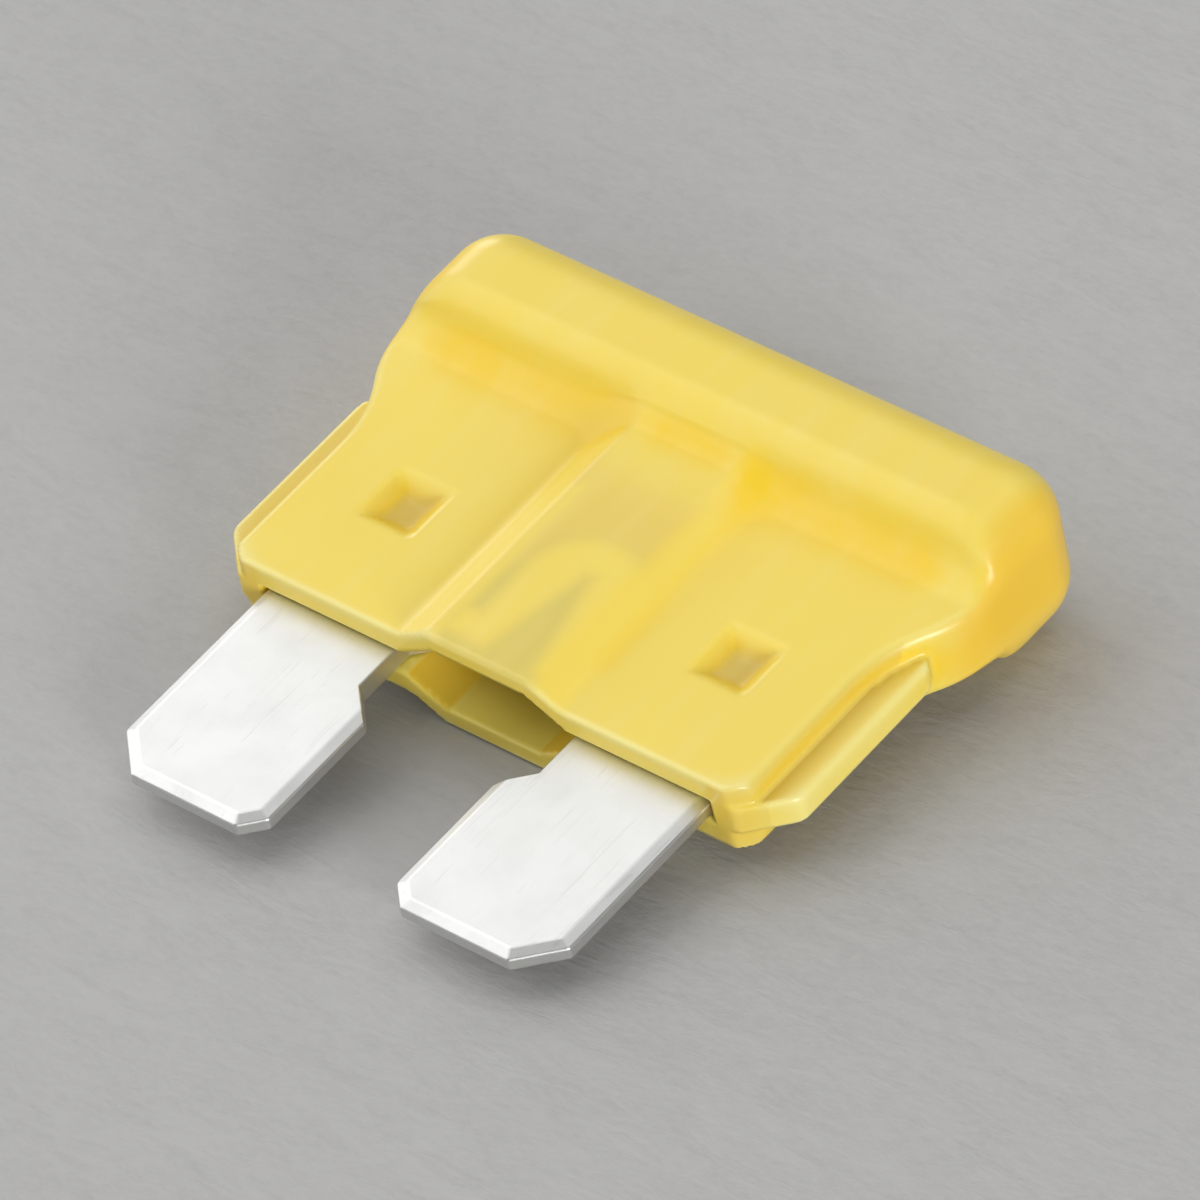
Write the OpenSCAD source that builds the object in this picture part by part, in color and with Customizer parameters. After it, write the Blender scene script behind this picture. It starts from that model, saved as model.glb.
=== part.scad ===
// Automotive blade fuse, regular size, open-bottomed pattern.
// A one-piece moulded translucent housing holds one stamped strip: two
// plug-in blades joined by the fusible link. The fuse lies on its back,
// as it comes to rest on a table: on the back of its head and on the
// back edge of the housing's mouth.
//
// The pieces are drawn in the fuse's own axes: X across both blades,
// Y from the blade tips towards the head, Z through the thickness, with
// y = 0 at the tips and z = 0 at the middle of the blades. lying() turns
// them into the resting pose.

/* [Blades] */
// Thickness of the stamped strip
blade_t = 0.65; // [0.6:0.05:0.8]
// Width of each plug-in blade
blade_w = 5.2; // [4.8:0.1:5.4]
// Distance between the centres of the blades
blade_pitch = 9.4; // [9.2:0.1:9.8]
// Exposed length of the blades, from the tips to the housing
blade_exposed = 6.6; // [6.0:0.1:7.2]
// Corner cut at the outer side of each tip
tip_cut_outer = 1.1; // [0.6:0.1:1.4]
// Corner cut at the inner side of each tip
tip_cut_inner = 0.6; // [0.3:0.1:1.0]
// Width of the coined bevel along the edges and tips
coin_w = 0.3; // [0.1:0.05:0.4]
// Depth of the coined bevel into each face
coin_d = 0.14; // [0.05:0.01:0.2]

/* [Fusible link] */
// Thickness of the skived link between the blades
link_t = 0.4; // [0.2:0.05:0.6]
// Radius of the link's arch, to its outer edge
link_r = 1.65; // [1.4:0.05:1.7]
// Height of the arch's centre above the blade tips
link_y = 10.7; // [10.4:0.1:11.2]

/* [Housing] */
// Width of the head across its grips
head_w = 19.4; // [18.8:0.1:19.6]
// Thickness of the head
head_t = 5.0; // [4.6:0.1:5.4]
// Overall length, from the blade tips to the top of the head
total_l = 19.1; // [18.6:0.1:19.4]
// Rounding of the head's edges and corners
head_r = 1.6; // [0.8:0.1:1.8]
// Width of the body below the head
body_w = 16.9; // [16.5:0.1:17.2]
// Thickness of the body over the blades
body_t = 2.2; // [2.1:0.1:2.6]
// Width across the guide ribs on the narrow sides
rib_w = 18.7; // [17.8:0.1:18.7]
// Thickness of the guide ribs
rib_t = 0.9; // [0.6:0.1:1.2]
// Thickness of the body over the link's chamber
chamber_t = 3.3; // [3.1:0.1:3.8]
// Width of the raised panel over the chamber
panel_w = 3.3; // [3.0:0.1:3.6]
// Side of the square staking dimples
dimple_w = 1.8; // [1.4:0.1:2.0]

/* [Hidden] */
$fn = 64;
eps = 0.01;
wide = 30;

// Blades
blade_x = blade_pitch / 2;
blade_in = blade_x - blade_w / 2;
blade_out = blade_x + blade_w / 2;
notch = 0.85;                // depth of the notch at the mouth
notch_y0 = 4.4;
shank_y = blade_exposed + 0.5;
blade_top = 13.6;            // top edge, seated at the slot's end
tab_w = 2.4;                 // test tab that reaches into the head
tab_top = 17.2;

// Staking: plastic pressed through a window in each blade
stake_x = 5.45;
stake_y = blade_exposed + 3.7;
stake_window = 1.3;
stake_play = 0.05;
dimple_d = 0.45;
dimple_floor = 0.9;

// Housing
mouth_y = blade_exposed;
half_t = body_t / 2;
wall = 0.6;
slot_play = 0.05;
slot_t = blade_t + 2 * slot_play;
ramp_w = 1.0;                // slope from the body up to the panel
edge_r = 0.3;                // rounding of the body's long edges
corner_cut = 0.5;            // cut at the body's lower corners
rib_r = 0.2;
rib_y0 = mouth_y + 0.3;
rib_y1 = 13.9;               // ribs run out on the head's swell
rib_h = (rib_w - body_w) / 2;
chamber_w = panel_w - 0.3;
chamber_y1 = 14.4;
chamber_r = 0.8;
probe_w = 3.2;               // pocket for a test probe, in the top
probe_t = 1.2;
probe_y0 = 16.4;

// The head grows out of the body by two tangent arcs, in both views
face_y0 = 14.5;              // front view start and end of the swell
face_y1 = 16.5;
side_y0 = 11.1;              // plan view start and end of the swell
side_y1 = 15.3;

// Resting pose: the line that touches the mouth's back edge and the
// rounded lower edge of the head's back
swell_r = (pow(face_y1 - face_y0, 2) + pow(head_t / 2 - half_t, 2))
    / (head_t - body_t);
nose_r = 0.45 * swell_r;
rest_a = nose_r - (head_t - chamber_t) / 2;
rest_b = face_y1 - mouth_y;
tilt = atan2(rest_b, rest_a) - acos(nose_r / norm([rest_a, rest_b]));
coin_land = blade_t / 2 - coin_d;
y_low = -coin_land * sin(tilt);
y_high = (total_l - head_r) * cos(tilt)
    + (head_t / 2 - head_r) * sin(tilt) + head_r;
floor_z = mouth_y * sin(tilt) - chamber_t / 2 * cos(tilt);

module lying() {
    translate([0, -(y_low + y_high) / 2, -floor_z])
        rotate([tilt, 0, 0])
            children();
}

// Both halves about the YZ plane
module both_sides() {
    children();
    mirror([1, 0, 0]) children();
}

// A drawing in the XZ plane, swept along Y from y0 to y1
module along_y(y0, y1) {
    translate([0, y1, 0])
        rotate([90, 0, 0])
            linear_extrude(y1 - y0)
                children();
}

// A drawing in the YZ plane, swept across the full width
module along_x() {
    rotate([90, 0, 90])
        linear_extrude(wide, center = true)
            children();
}

// A drawing in the XY plane, swept through a thickness
module through_z(t) {
    linear_extrude(t, center = true)
        children();
}

module rounded_rect(w, h, r) {
    square([w - 2 * r, h], center = true);
    square([w, h - 2 * r], center = true);
    for (x = [-1, 1], y = [-1, 1])
        translate([x * (w / 2 - r), y * (h / 2 - r)])
            circle(r);
}

// Area under a step that swells by h from [x0, h0] to [x1, h0 + h]: a
// hollow arc, then a round arc of 0.45 of the total radius, tangent to
// each other
module swell(x0, x1, h0, h) {
    r = (pow(x1 - x0, 2) + h * h) / (2 * h);
    round_r = 0.45 * r;
    hollow_r = r - round_r;
    meet_x = x1 - round_r * sin(acos(1 - h / r));
    difference() {
        translate([x0, 0]) square([meet_x - x0, h0 + hollow_r]);
        translate([x0, h0 + hollow_r]) circle(hollow_r);
    }
    intersection() {
        translate([meet_x, h0 + h - round_r])
            square([x1 - meet_x, 2 * round_r]);
        translate([x1, h0 + h - round_r]) circle(round_r);
    }
    translate([meet_x, 0]) square([x1 - meet_x, h0 + h - round_r]);
}

// ---- Housing ----

// Side view of the head, as half of the thickness
module head_side_half() {
    swell(face_y0, face_y1, half_t, head_t / 2 - half_t);
    translate([face_y1, 0])
        square([total_l - head_r - face_y1, head_t / 2]);
    translate([total_l - head_r, 0])
        square([head_r, head_t / 2 - head_r]);
    translate([total_l - head_r, head_t / 2 - head_r])
        circle(head_r);
    translate([side_y0, 0])
        square([face_y0 - side_y0, half_t]);
}

// Front view of the head, as half of the width
module head_front_half() {
    rotate(90) mirror([0, 1]) {
        swell(side_y0, side_y1, body_w / 2, (head_w - body_w) / 2);
        translate([side_y1, 0])
            square([total_l - head_r - side_y1, head_w / 2]);
        translate([side_y1, 0])
            square([total_l - side_y1, head_w / 2 - head_r]);
        translate([total_l - head_r, head_w / 2 - head_r])
            circle(head_r);
    }
}

module head_blank() {
    intersection() {
        along_x() {
            head_side_half();
            mirror([0, 1]) head_side_half();
        }
        through_z(head_t) {
            head_front_half();
            mirror([1, 0]) head_front_half();
        }
        along_y(side_y0, total_l)
            rounded_rect(head_w, head_t, head_r);
    }
}

// Cross-section of the body: thin over the blades, thicker over the
// chamber, with a guide rib on each narrow side
module body_section() {
    rounded_rect(body_w, body_t, edge_r);
    base = panel_w / 2 + ramp_w;
    polygon([
        [-base, half_t], [-panel_w / 2, chamber_t / 2],
        [panel_w / 2, chamber_t / 2], [base, half_t],
        [base, -half_t], [panel_w / 2, -chamber_t / 2],
        [-panel_w / 2, -chamber_t / 2], [-base, -half_t]
    ]);
    rounded_rect(rib_w, rib_t, rib_r);
}

// Front view of the body: lower corners cut, ribs with sloped ends
module body_front_half() {
    side = body_w / 2;
    polygon([
        [0, mouth_y], [side - corner_cut, mouth_y],
        [side, mouth_y + corner_cut], [side, rib_y0],
        [rib_w / 2, rib_y0 + rib_h], [rib_w / 2, rib_y1 - rib_h],
        [side, rib_y1], [side, face_y1], [0, face_y1]
    ]);
}

module body_blank() {
    intersection() {
        along_y(mouth_y, face_y1) body_section();
        through_z(head_t)
            both_sides() body_front_half();
    }
}

// Chamber round the link, open at the mouth
module chamber() {
    inner = chamber_t / 2 - wall;
    flare = ramp_w * (inner - slot_t / 2) / (chamber_t / 2 - half_t);
    edge = chamber_w / 2 + flare;
    intersection() {
        along_y(mouth_y - 1, chamber_y1)
            polygon([
                [-edge, slot_t / 2], [-chamber_w / 2, inner],
                [chamber_w / 2, inner], [edge, slot_t / 2],
                [edge, -slot_t / 2], [chamber_w / 2, -inner],
                [-chamber_w / 2, -inner], [-edge, -slot_t / 2]
            ]);
        through_z(head_t) {
            translate([-wide / 2, mouth_y - 1])
                square([wide, chamber_y1 - chamber_r - mouth_y + 1]);
            square([2 * (edge - chamber_r), 2 * chamber_y1], center = true);
            both_sides()
                translate([edge - chamber_r, chamber_y1 - chamber_r])
                    circle(chamber_r);
        }
    }
}

// Slot for one blade with its test tab, and the probe pocket above
module blade_slot() {
    through_z(slot_t) {
        translate([0, mouth_y - 1])
            square([blade_out + slot_play, blade_top - mouth_y + 1]);
        translate([blade_x - tab_w / 2 - slot_play, blade_top - eps])
            square([tab_w + 2 * slot_play, probe_y0 - blade_top + 1]);
    }
    translate([blade_x - probe_w / 2, probe_y0, -probe_t / 2])
        cube([probe_w, total_l - probe_y0 + 1, probe_t]);
}

// Tapered square pit left by the staking punch
module dimple() {
    rise = dimple_d + 1;
    spread = (dimple_w - dimple_floor) / 2 * rise / dimple_d;
    floor_z = half_t - dimple_d;
    outline = [
        [-dimple_floor / 2, floor_z], [dimple_floor / 2, floor_z],
        [dimple_floor / 2 + spread, floor_z + rise],
        [-dimple_floor / 2 - spread, floor_z + rise]
    ];
    intersection() {
        translate([stake_x, 0, 0])
            along_y(stake_y - 3, stake_y + 3) polygon(outline);
        translate([0, stake_y, 0])
            along_x() polygon(outline);
        translate([stake_x, stake_y, 0])
            cube(4, center = true);
    }
}

// Plastic that fills the window of one blade
module stake() {
    side = stake_window - 2 * stake_play;
    translate([stake_x, stake_y, 0])
        cube([side, side, slot_t + 2 * eps], center = true);
}

module housing() {
    color([0.95, 0.83, 0.30, 0.75])
        lying()
            difference() {
                union() {
                    difference() {
                        union() {
                            head_blank();
                            body_blank();
                        }
                        chamber();
                        both_sides() blade_slot();
                    }
                    both_sides() stake();
                }
                both_sides() {
                    dimple();
                    mirror([0, 0, 1]) dimple();
                }
            }
}

// ---- Fuse element ----

// Outline of one plug-in blade, moved in by inset
module blade_outline(inset) {
    slant = inset * (sqrt(2) - 1);
    outer = tip_cut_outer + slant;
    inner = tip_cut_inner + slant;
    x0 = blade_in + inset;
    x1 = blade_out - inset;
    polygon([
        [x0, shank_y], [x0, inner], [x0 + inner - inset, inset],
        [x1 - outer + inset, inset], [x1, outer], [x1, shank_y]
    ]);
}

// Plug-in blade with coined edges and a notch at the mouth
module blade() {
    difference() {
        hull() {
            through_z(2 * coin_land) blade_outline(0);
            through_z(blade_t) blade_outline(coin_w);
        }
        through_z(blade_t + 1)
            polygon([
                [blade_in - 1, notch_y0 - 1], [blade_in + notch, notch_y0 + notch],
                [blade_in + notch, shank_y + 1], [blade_in - 1, shank_y + 1]
            ]);
    }
}

// The rest of one blade inside the housing, with the test tab
module shank() {
    through_z(blade_t)
        difference() {
            union() {
                polygon([
                    [blade_in + notch, shank_y], [blade_in, shank_y + notch],
                    [blade_in, blade_top], [blade_out, blade_top],
                    [blade_out, shank_y]
                ]);
                translate([blade_x - tab_w / 2, blade_top])
                    square([tab_w, tab_top - blade_top]);
            }
            translate([stake_x, stake_y])
                square(stake_window, center = true);
        }
}

// Arched link: two legs that rise from the blades and meet in a bow,
// parted by a tapered slit
module link() {
    foot_y = shank_y + notch;
    foot_h = 0.9;
    slit_foot = 1.05;
    slit_top = 0.15;
    slit_y = link_y + 0.4;
    through_z(link_t)
        difference() {
            union() {
                translate([0, link_y]) circle(link_r);
                translate([-link_r, foot_y])
                    square([2 * link_r, link_y - foot_y]);
                translate([-blade_in - eps, foot_y])
                    square([2 * (blade_in + eps), foot_h]);
            }
            polygon([
                [-slit_foot, foot_y - 1], [-slit_top, slit_y],
                [slit_top, slit_y], [slit_foot, foot_y - 1]
            ]);
            translate([0, slit_y]) circle(slit_top);
        }
}

module fuse_element() {
    color([0.88, 0.89, 0.88])
        lying() {
            both_sides() {
                blade();
                shank();
            }
            link();
        }
}

housing();
fuse_element();
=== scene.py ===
"""Automotive blade fuse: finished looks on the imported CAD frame.

The fuse lies on its back on a pale floor. Sizes are in millimetres in the
fuse's own axes (X across the blades, Y from the tips to the head, Z through
the thickness), as in the part's source, and LIE turns them into the row frame
in metres. The housing is symmetric in X and Z, so most fields read |x| and |z|.
"""
import math

import bpy
import numpy as np
from mathutils import Matrix, Vector


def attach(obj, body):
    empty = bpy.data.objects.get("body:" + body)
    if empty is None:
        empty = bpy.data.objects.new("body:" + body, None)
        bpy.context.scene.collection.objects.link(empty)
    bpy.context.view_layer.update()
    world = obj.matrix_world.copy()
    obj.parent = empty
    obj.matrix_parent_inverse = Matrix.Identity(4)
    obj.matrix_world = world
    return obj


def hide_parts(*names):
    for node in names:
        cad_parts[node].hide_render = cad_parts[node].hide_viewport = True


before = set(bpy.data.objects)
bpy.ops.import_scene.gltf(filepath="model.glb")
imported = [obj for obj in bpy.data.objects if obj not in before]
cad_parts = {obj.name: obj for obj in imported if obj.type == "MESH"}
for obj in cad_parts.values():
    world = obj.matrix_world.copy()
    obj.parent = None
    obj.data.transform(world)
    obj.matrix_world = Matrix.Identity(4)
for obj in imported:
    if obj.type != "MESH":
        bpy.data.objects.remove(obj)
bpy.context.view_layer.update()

# ---------------------------------------------------------------- sizes
# HW is half a width along X, HT half a thickness along Z, R a radius.
MOUTH, TOP = 6.6, 19.1
BODY_HW, BODY_HT = 8.45, 1.1
HEAD_HW, HEAD_HT, HEAD_R = 9.7, 2.5, 1.6
EDGE_R, CORNER_CUT = 0.3, 0.5
FACE_Y0, FACE_Y1 = 14.5, 16.5           # where the faces swell into the head
SIDE_Y0, SIDE_Y1 = 11.1, 15.3           # where the narrow sides swell into it
NOSE_SHARE = 0.45                       # the head's arc, as a share of both swell arcs
PANEL_HW, PANEL_HT, RAMP, WALL = 1.65, 1.65, 1.0, 0.6
PANEL_FADE_Y0, PANEL_FADE_Y1 = 14.2, 15.4
RIB_HW, RIB_HT, RIB_Y0, RIB_Y1, RIB_ROOT = 9.35, 0.45, 6.9, 13.9, 7.5

# The hollows. CHAMBER_EDGE is where the chamber's sloped flank comes down to the slots.
CHAMBER_HW, CHAMBER_EDGE, CHAMBER_Y1, CHAMBER_R = 1.5, 2.727, 14.4, 0.5
SLOT_HW, SLOT_HT, SLOT_TOP = 7.35, 0.375, 13.6
TAB_HW, PROBE_HW, PROBE_HT, PROBE_Y0 = 1.25, 1.6, 0.6, 16.4
FLARE, FLARE_SLOPE = 0.35, 0.25         # chamfer at the mouth of each probe pocket
STAKE_X, STAKE_Y, STAKE_HW, STAKE_HT = 5.45, 10.3, 0.6, 0.45
PIT_HW, PIT_FLOOR = 0.45, 0.65

# The stamped strip, as it is seen through the plastic
BLADE_X, BLADE_HW, NOTCH_X, NOTCH_Y = 4.7, 2.6, 2.95, 7.5
STRIP_TAB_HW, STRIP_TAB_TOP = 1.2, 17.2
LINK_R, LINK_Y, LINK_FOOT_Y0, LINK_FOOT_Y1, LINK_FOOT_HW = 1.65, 10.7, 7.95, 8.85, 2.2
SLIT_HW, SLIT_SPREAD, SLIT_LENGTH = 0.15, 0.9, 4.15
SLIT_NARROW, SLIT_END = 0.4, 0.5        # both above LINK_Y
COIN_LAND = 0.185                       # half thickness left at a blade's coined edge

# Painted light and shade on the plastic. PHOTO_SHIFT is how far a thing below the panel seems to be moved
# at the photo's angle, and GAP_FADE below 1 draws out the upper end of the gap's painted shade.
HEAD_END_Y0, HEAD_END_Y1 = 13.4, 14.4
GAP_HW, GAP_TOP, GAP_FADE, GAP_SOFT = 1.8, 13.5, 0.3, 0.10
PHOTO_SHIFT_X, PHOTO_SHIFT_Y, STRIP_SOFT = 0.8, -0.9, 0.11
PIT_SHADE_HW, PIT_SHADE_SOFT = 0.5, 0.07
FAR_REACH, NEAR_REACH, NEAR_SOFT = (0.6, 1.2, 1.9), (0.22, 0.38), 0.04

# Widths over which edges of the moulding are blended; PANEL_END is added to one of them
# where the panel runs out into the head
CRISP, EDGE, SOFT, BLUNT, ROUND, PANEL_END = 0.08, 0.1, 0.12, 0.15, 0.2, 0.6
DIAGONAL = 0.7071                       # cosine of 45 degrees

swell_r = ((FACE_Y1 - FACE_Y0) ** 2 + (HEAD_HT - BODY_HT) ** 2) / (2 * (HEAD_HT - BODY_HT))
panel_slope = (PANEL_HT - BODY_HT) / RAMP
chamber_ht = PANEL_HT - WALL

# --------------------------------------------------------- resting pose
# The fuse touches the floor with the head's arc and the edge of the mouth. The lying
# fuse reaches from y_low to y_high, and its middle comes over the frame's origin.
nose_r = NOSE_SHARE * swell_r
rest_a, rest_b = nose_r - (HEAD_HT - PANEL_HT), FACE_Y1 - MOUTH
TILT = math.atan2(rest_b, rest_a) - math.acos(nose_r / math.hypot(rest_a, rest_b))
y_low = -COIN_LAND * math.sin(TILT)
y_high = (TOP - HEAD_R) * math.cos(TILT) + (HEAD_HT - HEAD_R) * math.sin(TILT) + HEAD_R
y_middle = (y_low + y_high) / 2
floor_z = MOUTH * math.sin(TILT) - PANEL_HT * math.cos(TILT)
LIE = (Matrix.Scale(0.001, 4) @ Matrix.Translation((0, -y_middle, -floor_z))
       @ Matrix.Rotation(TILT, 4, "X"))


# ------------------------------------------------------ distance fields
def between(value, zero, full):
    """0 at zero and 1 at full, straight between; zero may be the larger one."""
    return np.clip((value - zero) / (full - zero), 0, 1)


def soft_inside(field, soft):
    """1 where the field is negative and 0 where it is positive, soft between."""
    return 1 / (1 + np.exp(np.clip(field / soft, -30, 30)))


def smax(a, b, k):
    """Intersection with an edge blended over the width k."""
    return np.maximum(a, b) + np.maximum(k - np.abs(a - b), 0) ** 2 / (4 * k)


def smin(a, b, k):
    """Union with a crease blended over the width k."""
    return -smax(-a, -b, k)


def rmax(a, b, r):
    """Intersection of two half spaces with a round edge of radius r."""
    return (np.hypot(np.maximum(a + r, 0), np.maximum(b + r, 0))
            + np.minimum(np.maximum(a + r, b + r), 0) - r)


def square_off(a, b, mid_a, mid_b):
    """Distance from a square's middle, along the larger of the two axes."""
    return np.maximum(np.abs(a - mid_a), np.abs(b - mid_b))


def swell(t0, t1, h0, h, t):
    """Height and slope of the two tangent arcs that carry the body into the head."""
    r = ((t1 - t0) ** 2 + h * h) / (2 * h)
    r_head = NOSE_SHARE * r
    r_body = r - r_head
    meet = t1 - r_head * math.sin(math.acos(1 - h / r))
    t = np.clip(t, t0, t1)
    root_body = np.sqrt(np.maximum(r_body ** 2 - (t - t0) ** 2, 1e-9))
    root_head = np.sqrt(np.maximum(r_head ** 2 - (t1 - t) ** 2, 1e-9))
    height = np.where(t < meet, h0 + r_body - root_body, h0 + h - r_head + root_head)
    slope = np.where(t < meet, (t - t0) / root_body, (t1 - t) / root_head)
    return height, slope


def shell(x, y, z):
    """Body and head: a rounded box whose half sizes and rounding swell along Y."""
    ht, ds = swell(FACE_Y0, FACE_Y1, BODY_HT, HEAD_HT - BODY_HT, y)
    hw, dw = swell(SIDE_Y0, SIDE_Y1, BODY_HW, HEAD_HW - BODY_HW, y)
    r = EDGE_R + (HEAD_R - EDGE_R) * (ht - BODY_HT) / (HEAD_HT - BODY_HT)
    u, v, w = (x - hw) / r + 1, (z - ht) / r + 1, (y - TOP) / HEAD_R + 1
    up, vp, wp = np.maximum(u, 0), np.maximum(v, 0), np.maximum(w, 0)
    # n is 1 on the surface, and its slope g turns what it is off by into millimetres
    n = np.sqrt(up ** 2 + vp ** 2 + wp ** 2)
    g = np.sqrt((up / r) ** 2 + (vp / r) ** 2 + (wp / HEAD_R - (up * dw + vp * ds) / r) ** 2)
    far_inside = np.maximum(np.maximum(x - hw, z - ht), y - TOP)
    return np.where(n > 1e-3, (n - 1) * n / np.maximum(g, 1e-4), far_inside)


def over_ramp(ax, az, height, half_width):
    """Distance above the panel's sloped flank, or the chamber's flank below it."""
    return (az - height + (ax - half_width) * panel_slope) / math.hypot(1, panel_slope)


def hollow_field(ax, y, az):
    """Chamber, blade slots, tab slots and probe pockets."""
    roof = np.maximum(az - chamber_ht, over_ramp(ax, az, chamber_ht, CHAMBER_HW))
    chamber = rmax(smax(roof, ax - CHAMBER_EDGE, EDGE), y - CHAMBER_Y1, CHAMBER_R)
    sheet = az - SLOT_HT
    slot = np.maximum(np.maximum(sheet, ax - SLOT_HW), y - SLOT_TOP)
    tab = np.maximum(np.maximum(sheet, np.abs(ax - BLADE_X) - TAB_HW), y - TOP)
    tab = np.maximum(tab, SLOT_TOP - 1 - y)
    flare = FLARE_SLOPE * np.maximum(y - (TOP - FLARE), 0)
    probe = smax(az - PROBE_HT - flare, np.abs(ax - BLADE_X) - PROBE_HW - flare, EDGE)
    probe = smax(probe, PROBE_Y0 - y, BLUNT)
    return np.minimum(np.minimum(chamber, slot), np.minimum(tab, probe))


def outer_field(x, y, z):
    """Outer form of the housing, without its hollows."""
    ax, az = np.abs(x), np.abs(z)
    solid = shell(ax, y, az)
    solid = smax(solid, (ax + CORNER_CUT - BODY_HW - (y - MOUTH)) * DIAGONAL, EDGE)
    # Raised panel over the chamber
    panel = smax(az - PANEL_HT, over_ramp(ax, az, PANEL_HT, PANEL_HW), CRISP)
    panel = smax(panel, y - FACE_Y1, EDGE)
    solid = smin(solid, panel, SOFT + PANEL_END * between(y, PANEL_FADE_Y0, PANEL_FADE_Y1))
    # Guide ribs with sloped ends
    rib = smax(az - RIB_HT, ax - RIB_HW, ROUND)
    for end in (y - RIB_Y0, RIB_Y1 - y):
        rib = smax(rib, (ax - BODY_HW - end) * DIAGONAL, BLUNT)
    solid = smin(solid, np.maximum(rib, RIB_ROOT - ax), SOFT)
    solid = smax(solid, MOUTH - y, SOFT)
    # Pit that the staking punch left over each blade, with walls at 45 degrees
    pit = smax(np.abs(ax - STAKE_X), np.abs(y - STAKE_Y), ROUND) - PIT_HW - (az - PIT_FLOOR)
    pit = smax(pit * DIAGONAL, PIT_FLOOR - az, BLUNT)
    return smax(solid, -pit, SOFT)


def housing_field(x, y, z):
    """The moulding: outer form, less the hollows, with plastic staked through each blade."""
    ax, az = np.abs(x), np.abs(z)
    solid = smax(outer_field(x, y, z), -hollow_field(ax, y, az), EDGE)
    stake = np.maximum(square_off(ax, y, STAKE_X, STAKE_Y) - STAKE_HW, az - STAKE_HT)
    return np.minimum(solid, stake)


def gradient(field, v, e=0.01):
    """Gradient of the field at each vertex, by central differences."""
    out = np.zeros_like(v)
    for k in range(3):
        a, b = v.copy(), v.copy()
        a[:, k] += e
        b[:, k] -= e
        out[:, k] = (field(*a.T) - field(*b.T)) / (2 * e)
    return out


# ------------------------------------------------------------- surface
def cell_vertices(f, inside):
    """Mean crossing point in each grid cell that the surface passes, in cell units."""
    n = f.shape
    total = np.zeros([k - 1 for k in n] + [3])
    count = np.zeros([k - 1 for k in n])
    for axis in range(3):
        b, c = [k for k in range(3) if k != axis]
        for ob in (0, 1):
            for oc in (0, 1):
                start = [slice(None)] * 3
                start[b] = slice(ob, n[b] - 1 + ob)
                start[c] = slice(oc, n[c] - 1 + oc)
                stop = list(start)
                start[axis] = slice(0, n[axis] - 1)
                stop[axis] = slice(1, n[axis])
                f0, f1 = f[tuple(start)], f[tuple(stop)]
                cross = inside[tuple(start)] != inside[tuple(stop)]
                point = np.zeros(3)
                point[b], point[c] = ob, oc
                along = np.where(cross, f0 / np.where(cross, f0 - f1, 1), 0)
                for k in range(3):
                    total[..., k] += np.where(cross, along if k == axis else point[k], 0)
                count += cross
    return total, count


def edge_quads(inside, index):
    """One quad round each grid edge that the surface crosses, facing outwards."""
    n = inside.shape
    quads = []
    for axis in range(3):
        b, c = (axis + 1) % 3, (axis + 2) % 3
        start = [slice(1, n[k] - 1) for k in range(3)]
        stop = list(start)
        start[axis] = slice(0, n[axis] - 1)
        stop[axis] = slice(1, n[axis])
        first, second = inside[tuple(start)], inside[tuple(stop)]
        for leaving in (True, False):
            edge = np.argwhere((first != second) & (first == leaving))
            edge[:, b] += 1
            edge[:, c] += 1
            ring = []
            for db, dc in ((-1, -1), (0, -1), (0, 0), (-1, 0)):
                cell = edge.copy()
                cell[:, b] += db
                cell[:, c] += dc
                ring.append(index[cell[:, 0], cell[:, 1], cell[:, 2]])
            quad = np.stack(ring, 1)
            quads.append(quad if leaving else quad[:, ::-1])
    return np.concatenate(quads)


def skin(field, low, high, h, rounds=4):
    """Quads on the field's zero level, with vertices moved exactly onto it, and normals."""
    n = [int(math.ceil((b - a) / h)) + 1 for a, b in zip(low, high)]
    f = field(*np.meshgrid(*[low[i] + h * np.arange(n[i]) for i in range(3)], indexing="ij"))
    inside = f < 0
    total, count = cell_vertices(f, inside)
    live = count > 0
    index = np.full(count.shape, -1)
    index[live] = np.arange(int(live.sum()))
    v = np.array(low) + h * (np.argwhere(live) + total[live] / count[live][:, None])
    quads = edge_quads(inside, index)
    for _ in range(rounds):
        slope = gradient(field, v)
        step = field(*v.T)[:, None] * slope / np.maximum((slope ** 2).sum(1), 0.05)[:, None]
        length = np.linalg.norm(step, axis=1, keepdims=True)
        v = v - step * np.minimum(1, 0.5 * h / np.maximum(length, 1e-12))
    normal = gradient(field, v)
    return v, quads, normal / np.linalg.norm(normal, axis=1, keepdims=True)


def placed(name, v, faces, normal, values):
    """The mesh object in the row frame, with its normals and one attribute for each value."""
    me = bpy.data.meshes.new(name)
    m = np.array(LIE)
    me.from_pydata((v @ m[:3, :3].T + m[:3, 3]).tolist(), [], faces.tolist())
    me.polygons.foreach_set("use_smooth", [True] * len(me.polygons))
    me.normals_split_custom_set_from_vertices((normal @ (m[:3, :3] * 1000).T).tolist())
    for key, value in values.items():
        attribute = me.attributes.new(key, "FLOAT", "POINT")
        attribute.data.foreach_set("value", value.astype(np.float32))
    me.update()
    ob = bpy.data.objects.new(name, me)
    bpy.context.scene.collection.objects.link(ob)
    return ob


# ------------------------------------------ what the plastic's painted light and shade read
def solid_share(field, v, reach, soft, count):
    """Share of plastic round each vertex: low on outer edges, high in hollows.

    It is read at count points spread evenly over a sphere of each radius in reach.
    """
    turn = math.pi * (3 - math.sqrt(5))
    total = np.zeros(len(v))
    for r in reach:
        for i in range(count):
            h = 1 - (2 * i + 1) / count
            w = math.sqrt(1 - h * h)
            p = v + r * np.array([w * math.cos(turn * i), w * math.sin(turn * i), h])
            total += soft_inside(field(*p.T), soft)
    return total / (len(reach) * count)


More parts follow.
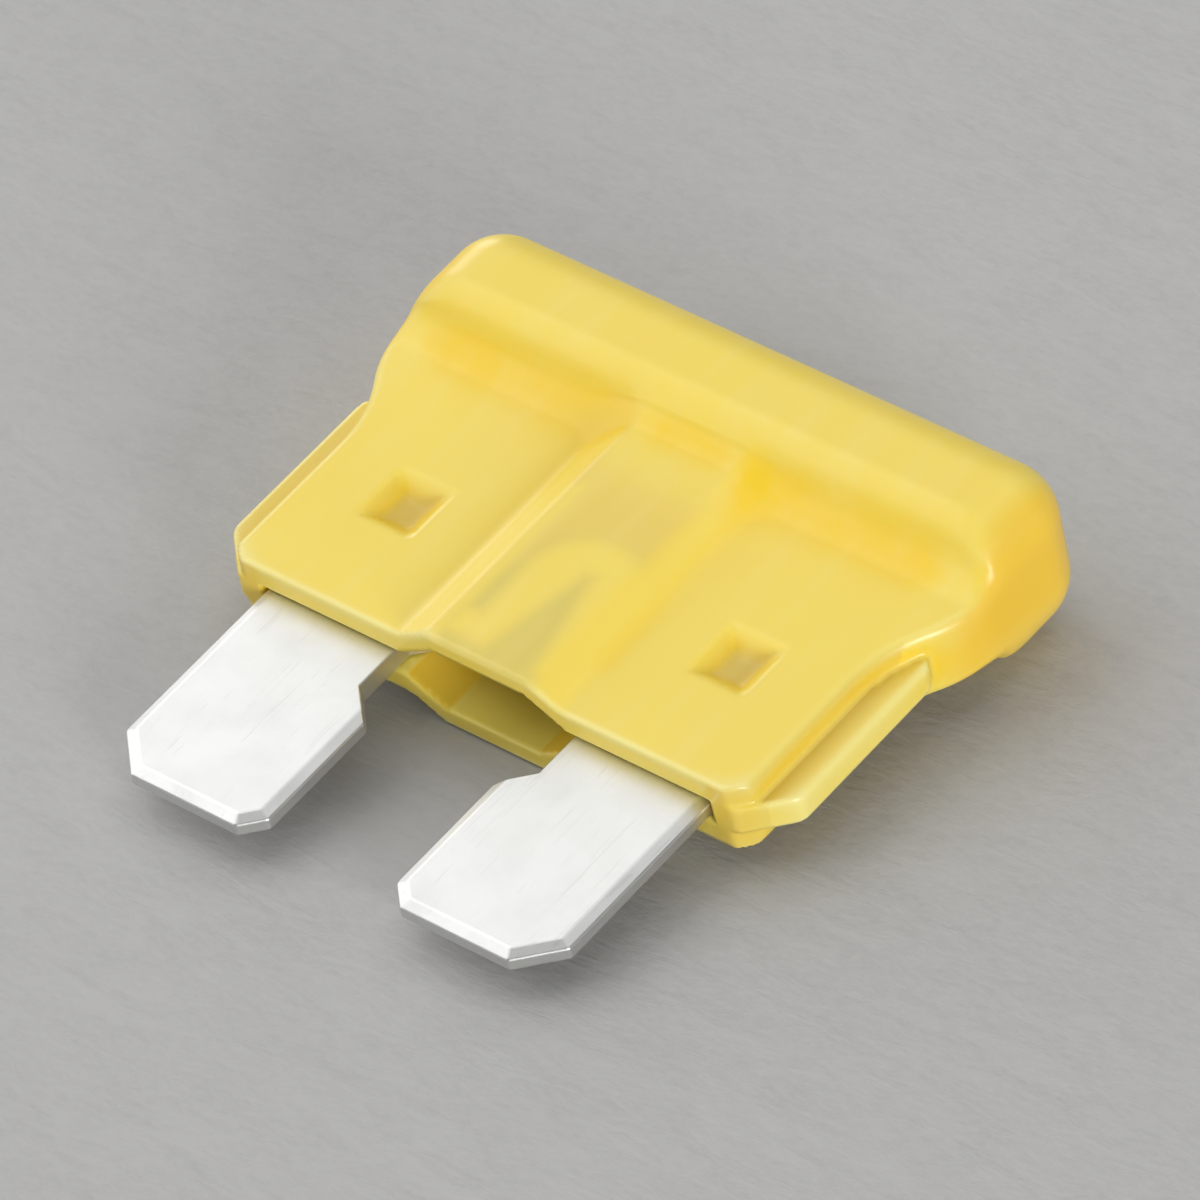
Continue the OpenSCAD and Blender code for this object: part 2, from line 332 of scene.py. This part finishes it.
def run_below(field, v, normal, step=0.45, count=8):
    """Length of plastic straight below each vertex, in millimetres."""
    total = np.zeros(len(v))
    for i in range(count):
        p = v - normal * step * (i + 0.5)
        total += step * soft_inside(field(*p.T), SOFT)
    return total


def metal_below(x, y):
    """Soft plan view of the blades, test tabs and link: 1 over metal, 0 beside it."""
    ax = np.abs(x)
    off_blade = np.abs(ax - BLADE_X)
    blade = np.maximum(off_blade - BLADE_HW, y - SLOT_TOP)
    blade = np.maximum(blade, np.minimum(NOTCH_X - ax, NOTCH_Y - y))
    tab = np.maximum(off_blade - STRIP_TAB_HW, y - STRIP_TAB_TOP)
    bow = np.hypot(x, np.maximum(y - LINK_Y, 0)) - LINK_R
    foot = np.maximum(ax - LINK_FOOT_HW, np.maximum(LINK_FOOT_Y0 - y, y - LINK_FOOT_Y1))
    link = np.minimum(np.maximum(bow, LINK_FOOT_Y0 - y), foot)
    spread = SLIT_SPREAD * np.clip((LINK_Y + SLIT_NARROW - y) / SLIT_LENGTH, 0, 1)
    slit = np.maximum(ax - SLIT_HW - spread, y - LINK_Y - SLIT_END)
    link = np.maximum(link, -slit)
    return soft_inside(np.minimum(np.minimum(blade, tab), link), STRIP_SOFT)


def painted_shading(v, normal):
    """Weights, 0 to 1 on each vertex, of the highlights, glow and shade painted into the plastic's colour
    over its base.
    """
    x, y, z = v.T
    ax = np.abs(x)
    nx, ny, nz = np.abs(normal[:, 0]), normal[:, 1], np.abs(normal[:, 2])
    share = solid_share(outer_field, v, FAR_REACH, SOFT, 18)
    near = solid_share(outer_field, v, NEAR_REACH, NEAR_SOFT, 32)
    run = run_below(housing_field, v, normal)
    # Walls of the hollows
    inside = between(hollow_field(ax, y, np.abs(z)), 0.16, 0.04)
    # Painted highlight on outer edges, which catch light from several sides
    pale = np.maximum(between(share, 0.33, 0.17), between(near, 0.432, 0.312))
    # Painted shade, as a deeper orange, in hollows between forms and on places with much plastic below
    # them
    painted_deep_shade = between(share, 0.515, 0.595)
    painted_deep_shade = painted_deep_shade + between(run, 2.2, 3.4) * between(share, 0.36, 0.44) * (0.1 + 0.8 * nx)
    # Painted orange glow on the head's ends, where light through the plastic comes out, and painted shade
    # on the face of the mouth at its outer corners
    end = 0.8 * between(nx, 0.4, 0.8) * between(y, HEAD_END_Y0, HEAD_END_Y1)
    rim = 0.45 * between(-ny, 0.5, 0.9) * between(y, MOUTH + 0.5, MOUTH + 0.2)
    rim = rim * between(ax, SLOT_HW - 0.15, SLOT_HW + 0.15)
    # Painted shade of the chamber's gap beside the link, as it shows through the panel over it
    gap = soft_inside(np.maximum(ax - GAP_HW, (y - GAP_TOP) * GAP_FADE), GAP_SOFT)
    painted_gap_shade = gap * (1 - metal_below(x - PHOTO_SHIFT_X, y - PHOTO_SHIFT_Y)) * nz
    # Painted shade where there is little plastic: in the staking pits, on the ribs and on the body's
    # sides beside them
    pit = soft_inside(square_off(ax, y, STAKE_X, STAKE_Y) - PIT_SHADE_HW, PIT_SHADE_SOFT)
    rib = between(run, 1.2, 1.0) * (ax > BODY_HW) * nz * (1 - 0.7 * pale)
    rib = rib * (0.25 + 0.65 * between(ax, BODY_HW + 0.7, BODY_HW + 0.25))
    wall = between(nx, 0.45, 0.85) * (ax < BODY_HW + 0.3) * between(y, RIB_Y1, RIB_Y1 - 1)
    wall = 0.6 * wall * (1 - inside)
    # pale weighs the painted highlight, end the painted glow and shade, flank the painted shade on the
    # chamber's flanks
    return {"pale": pale, "painted_deep_shade": np.clip(painted_deep_shade, 0, 1), "end": np.maximum(end, rim), "painted_gap_shade": painted_gap_shade,
            "flank": np.clip(1.6 * nx, 0, 1), "thin": np.maximum(pit, np.maximum(rib, wall)),
            "inside": inside}


# ------------------------------------------------------------ materials
class Nodes:
    """A Principled material whose noises read the fuse's own axes in millimetres."""

    def __init__(self, name, fixed):
        self.mat = bpy.data.materials.new(name)
        self.mat.use_nodes = True
        self.tree = self.mat.node_tree
        self.shader = self.tree.nodes["Principled BSDF"]
        for socket, value in fixed.items():
            self.shader.inputs[socket].default_value = value
        origin = Matrix.Rotation(-TILT, 3, "X") @ Vector((0, y_middle, floor_z))
        coord = self.tree.nodes.new("ShaderNodeTexCoord").outputs["Object"]
        turn = self.node("ShaderNodeMapping", {
            "Vector": coord, "Location": origin, "Rotation": (-TILT, 0, 0),
            "Scale": (1000, 1000, 1000)})
        self.axes = turn.outputs["Vector"]

    def node(self, kind, inputs, **props):
        """A new node; each input is a value or another node's output."""
        n = self.tree.nodes.new(kind)
        for key, value in props.items():
            setattr(n, key, value)
        for key, value in inputs.items():
            if isinstance(value, bpy.types.NodeSocket):
                self.tree.links.new(value, n.inputs[key])
            else:
                n.inputs[key].default_value = value
        return n

    def scaled(self, x, y, z):
        return self.node("ShaderNodeMapping", {"Vector": self.axes, "Scale": (x, y, z)}).outputs["Vector"]

    def noise(self, vector, scale=1.0, detail=2.0, rough=0.5, bend=0.0):
        n = self.node("ShaderNodeTexNoise", {"Vector": vector, "Scale": scale, "Detail": detail,
                                             "Roughness": rough, "Distortion": bend})
        return n.outputs["Fac"]

    def attribute(self, name):
        return self.node("ShaderNodeAttribute", {}, attribute_name=name).outputs["Fac"]

    def ramp(self, value, low, high, to_low=0.0, to_high=1.0):
        n = self.node("ShaderNodeMapRange", {"Value": value, "From Min": low, "From Max": high,
                                             "To Min": to_low, "To Max": to_high})
        return n.outputs["Result"]

    def math(self, operation, a, b):
        return self.node("ShaderNodeMath", {0: a, 1: b}, operation=operation).outputs["Value"]

    def blend(self, factor, a, b):
        """Colour a where the factor is 0, and b where it is 1."""
        rgba = [c if isinstance(c, bpy.types.NodeSocket) else (*c, 1) for c in (a, b)]
        n = self.node("ShaderNodeMix", {0: factor, 6: rgba[0], 7: rgba[1]}, data_type="RGBA")
        return n.outputs[2]

    def put(self, socket, value):
        self.tree.links.new(value, self.shader.inputs[socket])

    def bump(self, height, distance):
        n = self.node("ShaderNodeBump", {"Height": height, "Distance": distance, "Strength": 1.0})
        self.put("Normal", n.outputs["Normal"])


def plastic():
    """Translucent yellow moulding, whose depth shows as highlights, glow and shade painted into its
    colour.
    """
    m = Nodes("translucent_yellow", {"IOR": 1.5, "Transmission Weight": 0.12})
    along = m.node("ShaderNodeSeparateXYZ", {"Vector": m.axes}).outputs["Y"]
    # The outer surface: a base, and over it painted highlights, painted glow and painted shade, each
    # weighed on the vertices
    tone = (1.0, 0.775, 0.11)
    # Painted shade of the chamber's gap seen through the panel, darker towards the mouth
    gap_shade_colour = m.blend(m.ramp(along, 9.0, 12.0), (0.74, 0.61, 0.12), (0.91, 0.665, 0.11))
    for name, colour in (("painted_deep_shade", (1.0, 0.69, 0.02)), ("pale", (1.0, 0.90, 0.34)),
                         ("end", (0.98, 0.60, 0.035)), ("painted_gap_shade", gap_shade_colour),
                         ("thin", (0.80, 0.56, 0.07))):
        tone = m.blend(m.attribute(name), tone, colour)
    # Slight clouding, and faint flow lines that run from the head to the mouth
    cloud = m.noise(m.scaled(1, 0.6, 1), 0.30)
    flow = m.noise(m.scaled(1.2, 0.16, 1.2))
    tone = m.blend(m.ramp(cloud, 0.36, 0.64, 0.0, 0.22), tone, (0.985, 0.70, 0.10))
    tone = m.blend(m.ramp(flow, 0.45, 0.75, 0.0, 0.22), tone, (1.0, 0.84, 0.28))
    # Inside the chamber: painted light by the mouth, and painted shade further in and on the flanks
    chamber_light_and_shade = m.blend(m.ramp(along, 7.0, 9.4), (1.0, 0.83, 0.15), (0.66, 0.45, 0.03))
    chamber_light_and_shade = m.blend(m.attribute("flank"), chamber_light_and_shade, (0.80, 0.51, 0.02))
    m.put("Base Color", m.blend(m.attribute("inside"), tone, chamber_light_and_shade))
    # Moulded gloss, dulled in patches and crossed by hairline scratches
    patch = m.noise(m.axes, 0.8, 3.0, 0.6)
    fine = m.noise(m.axes, 5.0, 3.0, 0.6)
    hair = m.ramp(m.noise(m.scaled(6.0, 0.5, 6.0), 1.4, bend=1.6), 0.66, 0.70)
    dullness = m.ramp(patch, 0.3, 0.7, 0.30, 0.38)
    m.put("Roughness", m.math("ADD", dullness, m.math("MULTIPLY", hair, 0.06)))
    m.bump(m.math("ADD", m.math("MULTIPLY", patch, 0.004), m.math("MULTIPLY", fine, 0.0004)), 0.001)
    return m.mat


def tin():
    """Satin tin plating."""
    m = Nodes("tin_plate", {"Metallic": 1.0, "IOR": 1.5})
    # Drawn grain along the blades, cloudy stains and hairline scratches
    grain = m.noise(m.scaled(9.0, 0.35, 9.0), 2.0, 4.0, 0.65)
    stain = m.noise(m.axes, 0.55, 4.0, 0.6, 0.3)
    hair = m.ramp(m.noise(m.scaled(7.0, 0.4, 7.0), 1.1, bend=1.2), 0.64, 0.69)
    tone = m.blend(m.ramp(stain, 0.38, 0.66), (0.70, 0.70, 0.68), (0.66, 0.66, 0.64))
    tone = m.blend(m.ramp(grain, 0.35, 0.65, 0.0, 0.5), tone, (0.72, 0.72, 0.705))
    tone = m.blend(m.math("MULTIPLY", hair, 0.5), tone, (0.60, 0.60, 0.585))
    m.put("Base Color", tone)
    dullness = m.ramp(grain, 0.3, 0.7, 0.34, 0.44)
    m.put("Roughness", m.math("ADD", dullness, m.ramp(stain, 0.4, 0.65, 0.0, 0.07)))
    relief = m.math("SUBTRACT", m.math("MULTIPLY", grain, 0.0012), m.math("MULTIPLY", hair, 0.0008))
    m.bump(relief, 0.001)
    return m.mat


def card():
    """Pale grey card with a fibrous grain."""
    m = Nodes("pale_card", {})
    fibre = m.noise(m.scaled(0.5, 1.6, 1.0), 0.9, 4.0, 0.6, 0.8)
    grain = m.noise(m.scaled(1.2, 2.4, 1.0), 2.2, 2.0, 0.6)
    tone = m.blend(m.ramp(fibre, 0.3, 0.7), (0.425, 0.42, 0.411), (0.467, 0.462, 0.453))
    tone = m.blend(m.ramp(grain, 0.35, 0.65, 0.0, 0.5), tone, (0.484, 0.479, 0.469))
    m.put("Base Color", tone)
    m.put("Roughness", m.ramp(fibre, 0.3, 0.7, 0.86, 0.94))
    m.bump(m.math("ADD", fibre, m.math("MULTIPLY", grain, 0.4)), 0.00004)
    return m.mat


# --------------------------------------------------------------- pieces
GRID = 0.125                            # spacing of the grid that the housing is read on
low, high = (-9.95, 6.35, -2.85), (9.95, 19.4, 2.85)
points, faces, normals = skin(housing_field, low, high, GRID)
housing = placed("housing_moulding", points, faces, normals, painted_shading(points, normals))
housing.data.materials.append(plastic())
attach(housing, "root")
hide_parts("housing")

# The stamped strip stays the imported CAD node, with its edges rounded; sizes in metres
EDGE_ROUND, SAME_POINT = 0.00013, 1e-6
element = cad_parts["fuse_element"]
tin_plate = tin()
for slot in element.material_slots:
    slot.link = "OBJECT"
    slot.material = tin_plate
weld = element.modifiers.new("weld", "WELD")
weld.merge_threshold = SAME_POINT
flat = element.modifiers.new("flat", "DECIMATE")
flat.decimate_type = "DISSOLVE"
flat.angle_limit = math.radians(0.5)
edges = element.modifiers.new("edges", "BEVEL")
edges.width = EDGE_ROUND
edges.segments = 3
edges.limit_method = "ANGLE"
edges.angle_limit = math.radians(18)
edges.harden_normals = True

# ---------------------------------------------------------------- stage
FLOOR_HALF, FLOOR_DROP = 0.6, 0.00001   # metres
corners = [(-1, -1), (1, -1), (1, 1), (-1, 1)]
floor_mesh = bpy.data.meshes.new("floor")
floor_mesh.from_pydata([(a * FLOOR_HALF, b * FLOOR_HALF, 0) for a, b in corners], [], [(0, 1, 2, 3)])
floor_mesh.materials.append(card())
floor = bpy.data.objects.new("floor", floor_mesh)
floor.location.z = -FLOOR_DROP
bpy.context.scene.collection.objects.link(floor)

# --------------------------------------------------------------- camera
# The view was fitted to the blades in the photo, in the fuse's own axes. LENS is the
# photo's own lens for a sensor SENSOR millimetres wide, and ZOOM closes in on the fuse.
LENS, SENSOR, ZOOM = 89.79, 36.0, 4.1
YAW, PITCH, ROLL = math.radians(48.72), math.radians(44.95), math.radians(-13.56)
OFFSET = Vector((-6.989, -6.736, -304.22))
level = Vector((math.cos(YAW), math.sin(YAW), 0))
back = Vector((math.sin(YAW) * math.cos(PITCH), -math.cos(YAW) * math.cos(PITCH), math.sin(PITCH)))
upright = back.cross(level)
right = math.cos(ROLL) * level + math.sin(ROLL) * upright
up = math.cos(ROLL) * upright - math.sin(ROLL) * level
basis = Matrix((right, up, back)).transposed()
eye = LIE @ -(basis @ OFFSET)
camera_data = bpy.data.cameras.new("camera")
camera_data.sensor_width = SENSOR
camera_data.lens = LENS * ZOOM
camera_data.clip_start, camera_data.clip_end = 0.01, 5.0
camera = bpy.data.objects.new("camera", camera_data)
bpy.context.scene.collection.objects.link(camera)
camera.matrix_world = Matrix.Translation(eye) @ (Matrix.Rotation(TILT, 3, "X") @ basis).to_4x4()
bpy.context.scene.camera = camera


# --------------------------------------------------------------- lights
AIM = Vector((0, 0, 0.002))             # metres


def lamp(name, place, size, power):
    """A round soft box that faces the fuse; place and size in metres, power in watts."""
    light = bpy.data.lights.new(name, "AREA")
    light.shape = "DISK"
    light.size = size
    light.energy = power
    ob = bpy.data.objects.new(name, light)
    ob.location = place
    ob.rotation_euler = (AIM - Vector(place)).to_track_quat("-Z", "Y").to_euler()
    ob.visible_camera = False
    bpy.context.scene.collection.objects.link(ob)


lamp("key", (-0.12, 0.23, 0.54), 0.80, 1.32)
lamp("side", (-0.42, -0.14, 0.30), 0.80, 2.2)
lamp("front", (0.44, -0.20, 0.11), 0.20, 1.75)
lamp("back", (-0.44, 0.32, 0.13), 0.24, 0.5)

world = bpy.data.worlds.new("studio")
bpy.context.scene.world = world
world.use_nodes = True
background = world.node_tree.nodes["Background"]
background.inputs["Color"].default_value = (0.97, 0.985, 1.0, 1)
background.inputs["Strength"].default_value = 0.26
bpy.context.scene.view_settings.view_transform = "Standard"
